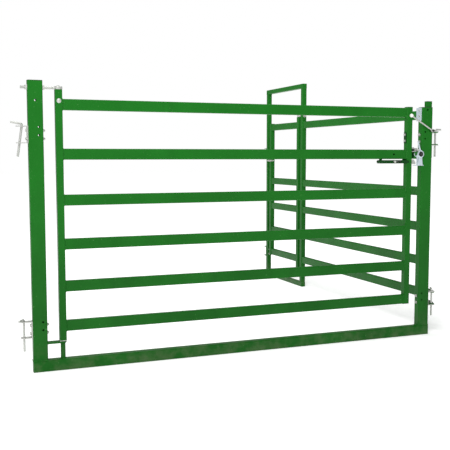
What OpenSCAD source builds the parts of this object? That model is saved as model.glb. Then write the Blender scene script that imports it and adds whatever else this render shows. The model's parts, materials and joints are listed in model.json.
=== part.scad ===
// Livestock panel gate: a six-rail swing gate hung between two posts on a sill,
// with a side panel pinned to the latch post that ends in a walk-through frame and its own small gate.
// Millimetres. X runs along the gate from the hinge post to the latch post, Y runs away from the
// handler's side, Z is up. The origin is the middle of the sill's underside.
// Inside the modules, X counts from the hinge post's outer face and Y from the posts' mid-depth.

/* [Gateway] */
// Clear width between the two posts
opening_w = 3050; // [2000:10:4200]
// Height of the hinge post above the ground
hinge_post_top = 2005; // [1990:1:2400]
// Height of the latch post's outer tube
latch_post_top = 1893; // [1850:1:1899]
// How far the inner tube stands out of the latch post
latch_stub_rise = 49; // [30:1:200]
// Width of both posts
post_w = 100; // [80:1:130]
// Depth of both posts
post_d = 62; // [56:1:90]
// Wall of both posts
post_wall = 4; // [3:0.5:6]
// Outside corner radius of both posts
post_r = 8; // [5:0.5:12]
// Height of the sill tube
sill_h = 80; // [50:1:110]
// Wall of the sill tube
sill_wall = 4; // [3:0.5:6]
// Width of the inner tube in the latch post
stub_w = 50; // [35:1:60]
// Depth of the inner tube in the latch post
stub_d = 38; // [30:1:46]

/* [Gate] */
// Underside of the bottom rail
rail_first = 273; // [240:1:320]
// Steps from each rail's underside to the next, from the bottom up
rail_steps = [279, 295, 306, 317, 338];
// Height of a rail
rail_h = 76; // [50:1:90]
// Depth of a rail
rail_d = 38; // [30:1:44]
// Wall of a rail
rail_wall = 2.5; // [1.5:0.5:4]
// Outside corner radius of a rail
rail_r = 6; // [3:0.5:9]
// Width of a gate upright
upright_w = 48; // [44:1:60]
// Depth of a gate upright
upright_d = 52; // [48:1:58]
// Wall of a gate upright
upright_wall = 3; // [2:0.5:4]
// Outside corner radius of a gate upright
upright_r = 5; // [3:0.5:8]
// Gap from the hinge post to the gate
hinge_gap = 84; // [60:1:130]
// Gap from the gate to the latch post
latch_gap = 91; // [80:1:130]
// How far the hinge upright stands above the top rail
hinge_rise = 62; // [40:1:120]
// How far the latch upright stands above the top rail
latch_rise = 8; // [2:1:40]

/* [Hinges] */
// Diameter of the eye bolt's shank
eye_shank_dia = 20; // [16:1:21]
// Thickness of the flattened eye
eye_t = 22; // [22:1:26]
// Width of the flattened eye
eye_w = 57; // [50:1:64]
// Diameter of the pivot pin that the eye holds
pivot_dia = 19; // [14:1:26]
// Diameter of the tube that the gate turns on at the foot
foot_pintle_dia = 34; // [26:1:38]
// Height of the hinge lug's top face
hinge_lug_top = 204; // [180:1:220]
// Thickness of the hinge lug
hinge_lug_t = 12; // [8:1:16]
// Width of the hinge lug
hinge_lug_w = 50; // [44:1:60]

/* [Connectors] */
// Height of the middle of the upper connectors
conn_high = 1640; // [1560:1:1690]
// Height of the middle of the lower connectors
conn_low = 300; // [220:1:400]
// Height over the two lugs of a connector
conn_h = 118; // [100:1:160]
// Length of a connector lug
lug_len = 80; // [64:1:110]
// Width of a connector lug
lug_w = 50; // [40:1:56]
// Thickness of a connector's plate and lugs
lug_t = 6; // [4:0.5:8]
// Distance from the post to the middle of the lug's slot
slot_at = 48; // [40:1:60]
// Travel of a pin along the slot
slot_play = 30; // [16:1:34]
// Diameter of a drop pin
drop_pin_dia = 16; // [12:1:20]
// Length of a drop pin's leg below its bend
drop_pin_len = 218; // [190:1:260]
// Length of a drop pin's handle
drop_pin_grip = 78; // [50:1:110]
// Distance between a connector's two bolts
conn_bolt_step = 56; // [40:1:70]
// Diameter of the connector bolts
conn_bolt_dia = 12; // [10:1:14]
// Diameter of the spare holes through the post faces
face_hole_dia = 14; // [10:1:18]
// How far the spare holes sit above the connector's middle
face_hole_rise = 24; // [14:1:30]
// Distance from the post's inner face to the spare holes
face_hole_in = 30; // [24:1:34]
// Height of the single hole near each post's top
top_hole_z = 1871; // [1800:1:1876]

/* [Latch] */
// Height of the latch lever's pivot
lever_z = 1510; // [1505:1:1520]
// Distance from the latch post's inner face out to the pivot
lever_out = 18; // [14:1:24]
// Thickness of the latch lever
lever_t = 8; // [5:1:10]
// Length of the latch lever from its pivot
lever_len = 109; // [90:1:130]
// Angle that the lever turns to close on the stud
lever_turn = 50; // [45:1:55]
// Radius of the striker stud's path about the lever's pivot
stud_reach = 46; // [45:1:49]
// Diameter of the striker stud
stud_dia = 12; // [8:1:14]
// Diameter of the slide bolt's rod
rod_dia = 20; // [14:1:22]
// Travel of the slide bolt
rod_travel = 60; // [50:1:66]
// Height of the slide bolt's middle below the second rail
rod_drop = 22; // [20:1:26]
// Length of the slide bolt's housing
housing_len = 262; // [220:1:320]
// Diameter of the retaining rod
guard_dia = 12; // [8:1:14]
// Length of the retaining rod from its pivot to its knob
guard_len = 239; // [200:1:260]
// Diameter of the retaining rod's knob
knob_dia = 30; // [22:1:40]
// Height of the strike plate's underside
strike_z = 1780; // [1760:1:1785]
// Height of the strike plate
strike_h = 109; // [80:1:112]

/* [Side panel] */
// Distance from the latch post's outer face to the panel's inner face
panel_out = 77; // [70:1:110]
// Section of the panel's uprights and of the walk-through frame
box_w = 50; // [44:1:60]
// Wall of the panel's uprights and of the walk-through frame
box_wall = 3; // [2:0.5:4]
// Outside corner radius of those tubes
box_r = 5; // [3:0.5:8]
// Distance from the posts' back to the panel's first upright
panel_start = 123; // [100:1:200]
// Length of the panel's rails
panel_len = 2275; // [1500:5:3000]
// Height of the walk-through frame
walk_top = 2307; // [2150:1:2500]
// Clear width inside the walk-through frame
walk_clear = 887; // [700:1:1100]
// Gap from the walk-through frame to the small gate on its hinge side
walk_hinge_gap = 50; // [42:1:80]
// Gap from the walk-through frame to the small gate on its latch side
walk_latch_gap = 40; // [34:1:60]
// Height of the small gate's eye bolt
walk_eye_z = 1951; // [1930:1:1960]
// Height of the middle of the connector at the panel's far end, upper one
far_conn_high = 1535; // [1500:1:1600]

/* [Hidden] */

smooth = 48;             // sides of a drawn circle
run_fit = 0.05;          // radial clearance of a turning or sliding fit
loose = 0.5;             // radial clearance of a bolt in its hole
face_gap = 0.5;          // gap between faces that move past each other
cap_t = 3;               // thickness of a tube cap
nut_h_per_dia = 0.8;     // height of a nut as a share of its thread
nut_af_per_dia = 1.6;    // width across flats as a share of its thread
green = "#2c7c30";
dark_green = "#1d5a22";
zinc = "#c6cfd2";
black = "#20221f";
white = "#f2f2ee";

frame_w = opening_w + 2 * post_w;
latch_face = frame_w - post_w;
gate_x0 = post_w + hinge_gap;
gate_x1 = latch_face - latch_gap;
axis_x = gate_x0 + upright_w / 2;
latch_up_x = gate_x1 - upright_w / 2;
rail_z = [for (i = [0:5]) rail_first + sum_to(rail_steps, i)];
rail_top = rail_z[5] + rail_h;
hinge_up_top = rail_top + hinge_rise;
latch_up_top = rail_top + latch_rise;
lug_clear = 2;                                  // gap from the hinge lug up to the gate
hinge_up_foot = hinge_lug_top + lug_clear;
pintle_len_in = 96;                             // length of the foot pintle inside the gate
bush_h = 12;
eye_z = hinge_up_top + face_gap + eye_t / 2;
eye_bolt_end = 45;                              // thread showing past the hinge post
conn_y = 5;                                     // connectors sit this far behind mid-depth
lever_x = latch_face - lever_out;
lever_rest_angle = 103;                         // lever's lean at rest, from +X
lever_y = -post_d / 2 - 10.5;                   // mid-thickness of the lever
plate_t = 6;
hub_dia = 16;                                   // lever's hub, round its pivot bolt
boss_step = 0.3;                                // lever's round ends, set in from its flat faces
stud_angle = 132;                               // stud's direction from the lever's pivot, from +X
claw_rest_angle = stud_angle + lever_turn;
stud_x = lever_x + stud_reach * cos(stud_angle);
stud_z = lever_z + stud_reach * sin(stud_angle);
rod_z = rail_z[4] - rod_drop;
tip_h = 37;
tip_d = 20;
tip_len = 44;
tip_gap = 3;
guard_x = frame_w - 14;
guard_z = 1701;
guard_y = -post_d / 2 - 22;
guard_rise_angle = 150;                         // rod's direction at rest, from +X
panel_x = frame_w + panel_out + box_w / 2;      // middle of the panel's tubes
panel_up_y = post_d / 2 + panel_start + box_w / 2;
panel_rail_y0 = panel_up_y + box_w / 2;
walk_y0 = panel_rail_y0 + panel_len;            // front face of the near walk-through post
walk_near_y = walk_y0 + box_w / 2;
walk_far_y = walk_near_y + box_w + walk_clear;
walk_axis_y = walk_near_y + box_w + walk_hinge_gap;
walk_latch_y = walk_far_y - box_w - walk_latch_gap;
walk_up_top = walk_eye_z - eye_t / 2 - face_gap;
pin_x_left = -slot_at - 8;
pin_x_right = frame_w + slot_at + 5;
lean = 8.5;                                     // lean of the loose upper pin

function sum_to(list, n) = n == 0 ? 0 : list[n - 1] + sum_to(list, n - 1);

// Moves from the working frame to the part's frame
module placed() {
    translate([-frame_w / 2, 0, 0]) children();
}

// Turn a thing drawn along +Z to lie along +X or +Y
module along_x() {
    rotate([0, 90, 0]) children();
}
module along_y() {
    rotate([-90, 0, 0]) children();
}

module rod(dia, len) {
    cylinder(h = len, d = dia, $fn = smooth);
}

// Rectangle with true round corners, centred
module rounded_rect(w, d, r) {
    square([w - 2 * r, d], center = true);
    square([w, d - 2 * r], center = true);
    for (sx = [-1, 1], sy = [-1, 1])
        translate([sx * (w / 2 - r), sy * (d / 2 - r)]) circle(r = r, $fn = smooth);
}

// Box tube drawn along +Z from the origin
module box_tube(w, d, wall, r, len) {
    linear_extrude(height = len) difference() {
        rounded_rect(w, d, r);
        rounded_rect(w - 2 * wall, d - 2 * wall, max(r - wall, 1));
    }
}

// Rail tube along +X: width along Y, height along Z, drawn from its lower edge
module rail_tube(len) {
    translate([0, 0, rail_h / 2]) along_x() box_tube(rail_h, rail_d, rail_wall, rail_r, len);
}

// Flat cap with a short plug that fits inside a tube, plug pointing down
module tube_cap(w, d, wall, r) {
    linear_extrude(height = cap_t) rounded_rect(w, d, r);
    translate([0, 0, -8]) linear_extrude(height = 8)
        rounded_rect(w - 2 * wall - 1, d - 2 * wall - 1, max(r - wall, 1));
}

module hex_nut(dia) {
    difference() {
        cylinder(h = dia * nut_h_per_dia, d = dia * nut_af_per_dia / cos(30), $fn = 6);
        translate([0, 0, -1]) rod(dia + 2 * run_fit, dia * nut_h_per_dia + 2);
    }
}

// Hexagon head on a shank that runs down -Z, with a washer under the head and a nut at the end
module bolt_with_nut(dia, grip, tail = 4) {
    washer_t = 2;
    head_h = dia * 0.65;
    translate([0, 0, washer_t]) cylinder(h = head_h, d = dia * nut_af_per_dia / cos(30), $fn = 6);
    translate([0, 0, -grip - washer_t - dia * nut_h_per_dia - tail])
        rod(dia, grip + 2 * washer_t + dia * nut_h_per_dia + tail);
    for (z = [0, -grip - washer_t])
        translate([0, 0, z]) difference() {
            rod(dia * 2, washer_t);
            translate([0, 0, -1]) rod(dia + 2 * run_fit, washer_t + 2);
        }
    translate([0, 0, -grip - washer_t - dia * nut_h_per_dia]) hex_nut(dia);
}

module slot_2d(travel, w) {
    square([travel, w], center = true);
    for (s = [-1, 1]) translate([s * travel / 2, 0]) circle(d = w, $fn = smooth);
}

// ---- gateway frame ----

module sill() {
    color(green) placed() translate([cap_t, 0, sill_h / 2]) along_x()
        box_tube(sill_h, post_d, sill_wall, post_r, frame_w - 2 * cap_t);
}

module sill_end_caps() {
    color(dark_green) placed() {
        translate([frame_w - cap_t, 0, sill_h / 2]) along_x() tube_cap(sill_h, post_d, sill_wall, post_r);
        translate([cap_t, 0, sill_h / 2]) rotate([0, -90, 0]) tube_cap(sill_h, post_d, sill_wall, post_r);
    }
}

// Spare holes through a post's front and back faces, and the connector bolts' holes through its sides
module post_holes(face_x, mid_x) {
    for (z = [conn_high, conn_low], s = [-1, 1]) {
        translate([face_x, -post_d, z + face_hole_rise + s * conn_bolt_step / 2])
            along_y() rod(face_hole_dia, 2 * post_d);
        translate([mid_x - post_w, conn_y, z + s * conn_bolt_step / 2])
            along_x() rod(conn_bolt_dia + 2 * loose, 2 * post_w);
    }
    translate([mid_x, -post_d, top_hole_z]) along_y() rod(face_hole_dia + 2, 2 * post_d);
}

module hinge_post() {
    color(green) placed() difference() {
        translate([post_w / 2, 0, sill_h])
            box_tube(post_w, post_d, post_wall, post_r, hinge_post_top - cap_t - sill_h);
        post_holes(post_w - face_hole_in, post_w / 2);
        translate([-1, 0, eye_z]) along_x() rod(eye_shank_dia + 2 * loose, post_w + 2);
    }
}

module keeper_hole() {
    translate([latch_face - 20, -tip_d / 2 - 3, rod_z - tip_h / 2 - 3]) cube([40, tip_d + 6, tip_h + 6]);
}

stub_x = frame_w - post_wall - stub_w / 2 - 1;
stub_y = -post_d / 2 + post_wall + stub_d / 2 + 1;
stub_in = 150;                                  // length of the inner tube inside the post

module latch_post() {
    color(green) placed() difference() {
        translate([latch_face + post_w / 2, 0, sill_h])
            box_tube(post_w, post_d, post_wall, post_r, latch_post_top - cap_t - sill_h);
        post_holes(latch_face + face_hole_in, latch_face + post_w / 2);
        keeper_hole();
        for (z = backing_bolt_z)
            translate([frame_w - post_wall - 2, conn_y, z]) along_x() rod(backing_bolt_dia + 2 * loose, 20);
        for (z = strike_bolt_z)
            translate([latch_face - 2, conn_y, z]) along_x() rod(strike_bolt_dia + 2 * loose, post_wall + 4);
        translate([guard_x, -post_d / 2 - 1, guard_z]) along_y() rod(guard_bolt_dia + 2 * loose, post_wall + 2);
    }
}

module latch_post_inner_tube() {
    color(green) placed() difference() {
        translate([stub_x, stub_y, latch_post_top - stub_in])
            box_tube(stub_w, stub_d, 3, 4, stub_in + latch_stub_rise - cap_t);
        translate([latch_face + post_w / 2, -post_d, top_hole_z]) along_y() rod(face_hole_dia + 3, 2 * post_d);
    }
}

// The hinge post's cap, the collar that closes the latch post around the inner tube, and that tube's own cap
module post_caps() {
    color(black) placed() {
        translate([post_w / 2, 0, hinge_post_top - cap_t]) tube_cap(post_w, post_d, post_wall, post_r);
        translate([stub_x, stub_y, latch_post_top + latch_stub_rise - cap_t]) tube_cap(stub_w, stub_d, 3, 4);
        difference() {
            translate([latch_face + post_w / 2, 0, latch_post_top - cap_t])
                linear_extrude(height = cap_t) rounded_rect(post_w, post_d, post_r);
            translate([stub_x, stub_y, latch_post_top - 10])
                linear_extrude(height = 20) rounded_rect(stub_w + 0.4, stub_d + 0.4, 4);
        }
    }
}

// ---- hinges ----

module hinge_lug() {
    reach = axis_x - post_w;
    color(green) placed() translate([post_w, 0, hinge_lug_top - hinge_lug_t])
        linear_extrude(height = hinge_lug_t) difference() {
            union() {
                translate([0, -hinge_lug_w / 2]) square([reach, hinge_lug_w]);
                translate([reach, 0]) circle(d = hinge_lug_w, $fn = smooth);
            }
            translate([reach, 0]) circle(d = foot_pintle_dia + 0.4, $fn = smooth);
        }
}

module hinge_foot_pintle() {
    color(dark_green) placed() translate([axis_x, 0, sill_h]) difference() {
        rod(foot_pintle_dia, hinge_up_foot + pintle_len_in - sill_h);
        translate([0, 0, -1]) rod(foot_pintle_dia - 8, hinge_up_foot + pintle_len_in - sill_h - 5);
    }
}

// Eye bolt drawn along +X with the middle of its eye at the origin and its shank running to -X
module eye_bolt(shank_len) {
    difference() {
        union() {
            translate([-shank_len, 0, 0]) along_x() rod(eye_shank_dia, shank_len - eye_w / 2 + 6);
            translate([0, 0, -eye_t / 2]) rod(eye_w, eye_t);
        }
        translate([0, 0, -eye_t]) rod(pivot_dia + 2 * run_fit, 2 * eye_t);
    }
}

// Nuts and washers that clamp an eye bolt to a wall from x0 to x1
module eye_nuts(x0, x1) {
    nut_h = eye_shank_dia * 0.6;
    wash = 4;
    for (side = [[x0 - wash, x0 - wash - nut_h], [x1, x1 + wash]]) {
        translate([side[0], 0, 0]) along_x() difference() {
            rod(eye_shank_dia * 1.9, wash);
            translate([0, 0, -1]) rod(eye_shank_dia + 2 * run_fit, wash + 2);
        }
        translate([side[1], 0, 0]) along_x() difference() {
            cylinder(h = nut_h, d = eye_shank_dia * 1.5 / cos(30), $fn = 6);
            translate([0, 0, -1]) rod(eye_shank_dia + 2 * run_fit, nut_h + 2);
        }
    }
}

module hinge_eye_bolt() {
    color(zinc) placed() translate([axis_x, 0, eye_z]) eye_bolt(axis_x + eye_bolt_end);
}

module hinge_eye_nuts() {
    color(zinc) placed() translate([0, 0, eye_z]) eye_nuts(0, post_w);
}

// ---- connectors ----

// Channel with two slotted lugs: plate on the plane x = 0, lugs towards +X, middle at the origin
module connector() {
    module lug_2d() {
        difference() {
            union() {
                translate([0, -lug_w / 2]) square([lug_len - lug_w / 2, lug_w]);
                translate([lug_len - lug_w / 2, 0]) circle(d = lug_w, $fn = smooth);
            }
            translate([slot_at, 0]) slot_2d(slot_play, drop_pin_dia + 4);
        }
    }
    difference() {
        translate([0, -lug_w / 2, -conn_h / 2]) cube([lug_t, lug_w, conn_h]);
        for (s = [-1, 1])
            translate([-1, 0, s * conn_bolt_step / 2]) along_x() rod(conn_bolt_dia + 2 * loose, lug_t + 2);
    }
    for (z = [-conn_h / 2, conn_h / 2 - lug_t])
        translate([0, 0, z]) linear_extrude(height = lug_t) lug_2d();
}

module connectors_hinge_post() {
    color(zinc) placed() for (z = [conn_high, conn_low])
        translate([0, conn_y, z]) rotate([0, 0, 180]) connector();
}

module connectors_latch_post() {
    color(zinc) placed() for (z = [conn_high, conn_low])
        translate([frame_w, conn_y, z]) connector();
}

module connectors_far_post() {
    color(green) placed() for (z = [far_conn_high, conn_low])
        translate([panel_x, walk_far_y + box_w / 2, z]) rotate([0, 0, 90]) connector();
}

// Through bolts of the connectors on the gateway's posts, heads on the connector's side
module connector_bolts() {
    color(zinc) placed() for (s = [-1, 1], z = [conn_high, conn_low]) {
        translate([-lug_t, conn_y, z + s * conn_bolt_step / 2])
            rotate([0, -90, 0]) bolt_with_nut(conn_bolt_dia, post_w + lug_t);
        translate([frame_w + lug_t, conn_y, z + s * conn_bolt_step / 2])
            rotate([0, 90, 0]) bolt_with_nut(conn_bolt_dia, post_w + lug_t);
    }
}

module far_connector_bolts() {
    color(zinc) placed() for (s = [-1, 1], z = [far_conn_high, conn_low])
        translate([panel_x, walk_far_y + box_w / 2 + lug_t, z + s * conn_bolt_step / 2])
            rotate([-90, 0, 0]) bolt_with_nut(conn_bolt_dia, box_w + lug_t);
}

// L-shaped pin: its bend sits at the origin, the leg runs down and the handle runs towards +X
module drop_pin() {
    bend = drop_pin_dia;
    translate([0, 0, -drop_pin_len]) rod(drop_pin_dia, drop_pin_len - bend);
    translate([0, 0, -drop_pin_len - 6]) cylinder(h = 6, d1 = drop_pin_dia - 6, d2 = drop_pin_dia, $fn = smooth);
    translate([bend, 0, -bend]) rotate([90, 0, 180])
        rotate_extrude(angle = 90, $fn = smooth) translate([bend, 0]) circle(d = drop_pin_dia, $fn = 32);
    translate([bend, 0, 0]) along_x() rod(drop_pin_dia, drop_pin_grip - bend);
}

pin_seat = conn_h / 2 + drop_pin_dia / 2 + 5;   // bend above the connector's middle

module drop_pin_hinge_top() {
    color(zinc) placed() translate([-slot_at, conn_y, conn_high]) rotate([0, lean, 0])
        translate([0, 0, pin_seat + 1]) rotate([0, 0, 180]) drop_pin();
}

module drop_pin_hinge_foot() {
    color(zinc) placed() translate([pin_x_left, conn_y, conn_low + pin_seat]) rotate([0, 0, 240]) drop_pin();
}

module drop_pin_latch_top() {
    color(zinc) placed() translate([pin_x_right, conn_y, conn_high + pin_seat]) rotate([0, 0, 20]) drop_pin();
}

module drop_pin_latch_foot() {
    color(zinc) placed() translate([pin_x_right, conn_y, conn_low + pin_seat]) rotate([0, 0, 60]) drop_pin();
}

// ---- latch on the post ----

strike_t = 5;
strike_bolt_dia = 10;
strike_bolt_z = [strike_z + 42, strike_z + 87];
backing_bolt_dia = 10;
keeper_back = 5;                                // keeper past the post's back face
backing_bolt_z = [lever_z - 3, lever_z + 55];
guard_bolt_dia = 10;
strike_back = 19;                               // strike plate past the post's back face

module strike_plate() {
    color(zinc) placed() difference() {
        translate([latch_face - strike_t, -post_d / 2 + 12, strike_z])
            cube([strike_t, post_d - 12 + strike_back, strike_h]);
        for (z = strike_bolt_z)
            translate([latch_face - strike_t - 1, conn_y, z]) along_x()
                rod(strike_bolt_dia + 2 * loose, strike_t + 2);
    }
}

// Side plate with the opening for the slide bolt, standing on a foot that turns the post's front corner
module keeper_plate() {
    foot_z = rod_z - 32;
    foot_out = 40;
    foot_lap = 17;
    color(zinc) placed() difference() {
        union() {
            translate([latch_face - strike_t, -post_d / 2, foot_z]) cube([strike_t, post_d + keeper_back, 74]);
            translate([latch_face - foot_out, -post_d / 2 - plate_t, foot_z])
                cube([foot_out, post_d + plate_t + keeper_back, strike_t]);
            translate([latch_face - foot_out, -post_d / 2 - plate_t, foot_z])
                cube([foot_out + foot_lap, plate_t, strike_t]);
        }
        keeper_hole();
    }
}

// Plate in front of the keeper that rises from its foot to carry the lever
module latch_plate() {
    foot_z = rod_z - 32 + strike_t;
    color(zinc) placed() translate([0, -post_d / 2, 0]) rotate([90, 0, 0])
        difference() {
            union() {
                translate([lever_x, lever_z, 0]) rod(40, plate_t);
                linear_extrude(height = plate_t) polygon([
                    [lever_x - 26, foot_z], [lever_x - 14, lever_z - 28], [lever_x - 15, lever_z - 11],
                    [lever_x + 15, lever_z - 11], [latch_face, lever_z - 28], [latch_face + 6, foot_z],
                ]);
            }
            translate([lever_x, lever_z, -1]) rod(hub_dia + 0.4, plate_t + 2);
        }
}

module latch_backing_plate() {
    color(dark_green) placed() difference() {
        translate([frame_w, -lug_w / 2 + conn_y, lever_z - 30]) cube([lug_t, lug_w, 96]);
        for (z = backing_bolt_z)
            translate([frame_w - 1, conn_y, z]) along_x() rod(backing_bolt_dia + 2 * loose, lug_t + 2);
    }
}

// Bolts of the strike plate and of the backing plate, each through one wall of the post
module latch_bolts() {
    color(zinc) placed() {
        for (z = strike_bolt_z)
            translate([latch_face - strike_t, conn_y, z]) rotate([0, -90, 0])
                bolt_with_nut(strike_bolt_dia, post_wall + strike_t);
        for (z = backing_bolt_z)
            translate([frame_w + lug_t, conn_y, z]) rotate([0, 90, 0])
                bolt_with_nut(backing_bolt_dia, post_wall + lug_t);
    }
}

module latch_pivot_bolt() {
    color(zinc) placed() translate([lever_x, lever_y - lever_t / 2 - 0.5, lever_z]) rotate([90, 0, 0]) {
        difference() {
            rod(40, 3);
            translate([0, 0, -1]) rod(16, 5);
        }
        translate([0, 0, -lever_t - plate_t - 3]) rod(16, lever_t + plate_t + 3 + 3);
        translate([0, 0, 3]) cylinder(h = 9, d = 24 / cos(30), $fn = 6);
        translate([0, 0, -lever_t - plate_t - 1 - 9]) cylinder(h = 8, d = 24 / cos(30), $fn = 6);
    }
}

// Lever outline about its pivot: a round hub, a tapering handle, and a claw whose throat takes the stud
module lever_solid() {
    tip_r = 5;
    throat_r = stud_dia / 2 + 5;
    finger = stud_reach + throat_r;
    boss_t = lever_t - 2 * boss_step;
    translate([0, 0, boss_step]) rod(62, boss_t);
    rotate(lever_rest_angle) {
        linear_extrude(height = lever_t) polygon([
            [18, -16], [34, -12], [58, -8], [lever_len - tip_r, 1 - tip_r],
            [lever_len - tip_r, tip_r - 1], [58, 8], [34, 12], [18, 16],
        ]);
        translate([lever_len - tip_r, 0, boss_step]) rod(2 * tip_r, boss_t);
    }
    rotate(claw_rest_angle) difference() {
        linear_extrude(height = lever_t) polygon([
            [10, 26], [stud_reach - 4, throat_r + 9], [finger + 2, throat_r + 3], [finger + 7, 0],
            [finger + 6, -9], [finger - 0.5, -10], [stud_reach, -4], [20, -4],
        ]);
        translate([stud_reach, 0, -1]) rod(2 * throat_r, lever_t + 2);
        translate([stud_reach - throat_r + 1, -30, -1]) cube([2 * throat_r - 2, 32, lever_t + 2]);
    }
}

module latch_lever() {
    color(zinc) placed() translate([lever_x, lever_y + lever_t / 2, lever_z]) rotate([90, 0, 0])
        difference() {
            lever_solid();
            translate([0, 0, -1]) rod(hub_dia + 2 * run_fit, lever_t + 2);
        }
}

// Bolt and spacer that carry the retaining rod's eye
module guard_rod_pivot() {
    color(black) placed() translate([guard_x, 0, guard_z]) {
        translate([0, -post_d / 2, 0]) rotate([90, 0, 0]) difference() {
            rod(20, -guard_y - post_d / 2 - guard_dia / 2 - 0.5);
            translate([0, 0, -1]) rod(guard_bolt_dia, 40);
        }
        translate([0, guard_y - guard_dia / 2 - 8, 0]) along_y()
            rod(guard_bolt_dia, -guard_y + guard_dia / 2 + 8 - post_d / 2 + post_wall + 10);
        translate([0, guard_y - guard_dia / 2 - 0.5, 0]) rotate([90, 0, 0])
            cylinder(h = 9, d = 17 / cos(30), $fn = 6);
        translate([0, -post_d / 2 + post_wall, 0]) along_y() cylinder(h = 8, d = 16 / cos(30), $fn = 6);
    }
}

module guard_rod() {
    eye_r = 14;
    color(zinc) placed() translate([guard_x, guard_y, guard_z]) difference() {
        union() {
            rotate([90, 0, 0]) translate([0, 0, -guard_dia / 2]) cylinder(h = guard_dia, r = eye_r, $fn = smooth);
            rotate([0, -guard_rise_angle, 0]) translate([eye_r - 4, 0, 0]) along_x()
                rod(guard_dia, guard_len - eye_r + 4 - knob_dia / 2 + 3);
        }
        rotate([90, 0, 0]) translate([0, 0, -20]) rod(guard_bolt_dia + 2 * run_fit, 40);
    }
}

module guard_rod_knob() {
    color(white) placed() translate([guard_x, guard_y, guard_z]) rotate([0, -guard_rise_angle, 0])
        translate([guard_len, 0, 0]) difference() {
            sphere(d = knob_dia, $fn = smooth);
            translate([-knob_dia, 0, 0]) along_x() rod(guard_dia + 0.02, knob_dia / 2 + 3);
        }
}

// ---- swing gate ----

module gate_hinge_upright() {
    color(green) placed() difference() {
        translate([axis_x, 0, hinge_up_foot + bush_flange])
            box_tube(upright_w, upright_d, upright_wall, upright_r, hinge_up_top - hinge_up_foot - bush_flange);
        translate([axis_x, -upright_d, plug_bolt_z]) along_y() rod(plug_bolt_dia + 2 * loose, 2 * upright_d);
    }
}

plug_len = 100;
plug_bolt_dia = 12;
plug_bolt_z = hinge_up_top - 76;
bush_flange = 4;

// Plug bolted in the top of the hinge upright, with the pin that stands up through the eye
module gate_pivot_pin() {
    color(zinc) placed() {
        translate([axis_x, 0, hinge_up_top - plug_len]) difference() {
            linear_extrude(height = plug_len)
                rounded_rect(upright_w - 2 * upright_wall - 0.6, upright_d - 2 * upright_wall - 0.6, 2);
            translate([0, -upright_d, plug_len - 76]) along_y() rod(plug_bolt_dia + 2 * loose, 2 * upright_d);
        }
        translate([axis_x, 0, hinge_up_top]) rod(pivot_dia, eye_t + 6);
        translate([axis_x, 0, plug_bolt_z]) {
            translate([0, -upright_d / 2 - 2, 0]) along_y() rod(plug_bolt_dia, upright_d + 14);
            translate([0, -upright_d / 2, 0]) rotate([90, 0, 0]) intersection() {
                rod(32, 7);
                translate([0, 0, 7 - 22]) sphere(r = 22, $fn = smooth);
            }
            translate([0, upright_d / 2, 0]) along_y() hex_nut(plug_bolt_dia);
        }
    }
}

// Flanged bush in the foot of the hinge upright, running on the pintle
module gate_foot_bush() {
    color(zinc) placed() translate([axis_x, 0, hinge_up_foot]) difference() {
        union() {
            linear_extrude(height = bush_flange) rounded_rect(upright_w, upright_d, upright_r);
            rod(upright_w - 2 * upright_wall - 0.6, bush_flange + bush_h);
        }
        translate([0, 0, -1]) rod(foot_pintle_dia + 2 * run_fit, bush_flange + bush_h + 2);
    }
}

module gate_latch_upright() {
    color(green) placed() difference() {
        translate([latch_up_x, 0, rail_first + cap_t])
            box_tube(upright_w, upright_d, upright_wall, upright_r, latch_up_top - rail_first - 2 * cap_t);
        translate([latch_up_x - upright_w, 0, rod_z]) along_x() rod(rod_dia + 1, 2 * upright_w);
        for (s = [-1, 1])
            translate([latch_up_x - upright_w, conn_y, striker_bolt_z + s * striker_bolt_step / 2]) along_x()
                rod(striker_bolt_dia + 2 * loose, 2 * upright_w);
    }
}

module gate_upright_caps() {
    color(black) placed() {
        translate([latch_up_x, 0, latch_up_top - cap_t]) tube_cap(upright_w, upright_d, upright_wall, upright_r);
        translate([latch_up_x, 0, rail_first + cap_t]) mirror([0, 0, 1])
            tube_cap(upright_w, upright_d, upright_wall, upright_r);
    }
}

module gate_rail(i) {
    color(green) placed() translate([gate_x0 + upright_w, 0, rail_z[i]])
        rail_tube(gate_x1 - gate_x0 - 2 * upright_w);
}

lock_hole_dia = 16;
lock_hole_x = gate_x1 - upright_w - 121;

// The rail above the slide bolt has a hole in its front wall for a chain
module gate_rail_5() {
    difference() {
        gate_rail(4);
        color(green) placed() translate([lock_hole_x, -rail_d, rail_z[4] + rail_h / 2]) along_y()
            rod(lock_hole_dia, rail_d);
    }
}

striker_bolt_z = 1643;
striker_bolt_dia = 10;
striker_bolt_step = 50;

// Two flat bars from the latch upright that carry the striker stud
module striker_arm() {
    bar_t = 6;
    arm_len = stud_x - gate_x1 + 14;
    color(zinc) placed() difference() {
        union() {
            for (z = [stud_z + 9, stud_z - 9 - bar_t])
                translate([gate_x1, -16, z]) cube([arm_len, 32, bar_t]);
            translate([stud_x - 12, -16, stud_z - 12]) cube([24, 10, 24]);
        }
        translate([stud_x, -30, stud_z]) along_y() rod(stud_dia + 2 * run_fit, 40);
    }
}

// Plate behind the two bars that ties them to the upright
module striker_web() {
    color(dark_green) placed() translate([gate_x1, 16, stud_z - 64]) cube([48, 6, 84]);
}

module striker_stud() {
    color(zinc) placed() translate([stud_x, 0, stud_z]) {
        front = lever_y - lever_t / 2 - 2;
        translate([0, front - 5, 0]) along_y() rod(stud_dia, 5 - front);
        translate([0, front - 4, 0]) along_y() difference() {
            rod(stud_dia + 6, 4);
            translate([0, 0, -1]) rod(stud_dia + 2 * run_fit, 6);
        }
        translate([0, -6, 0]) along_y() rod(stud_dia + 4, 4);
    }
    color(zinc) placed() for (s = [-1, 1])
        translate([gate_x1 - upright_w - 4, conn_y, striker_bolt_z + s * striker_bolt_step / 2])
            rotate([0, -90, 0]) bolt_with_nut(striker_bolt_dia, upright_w + 4);
}

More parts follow.
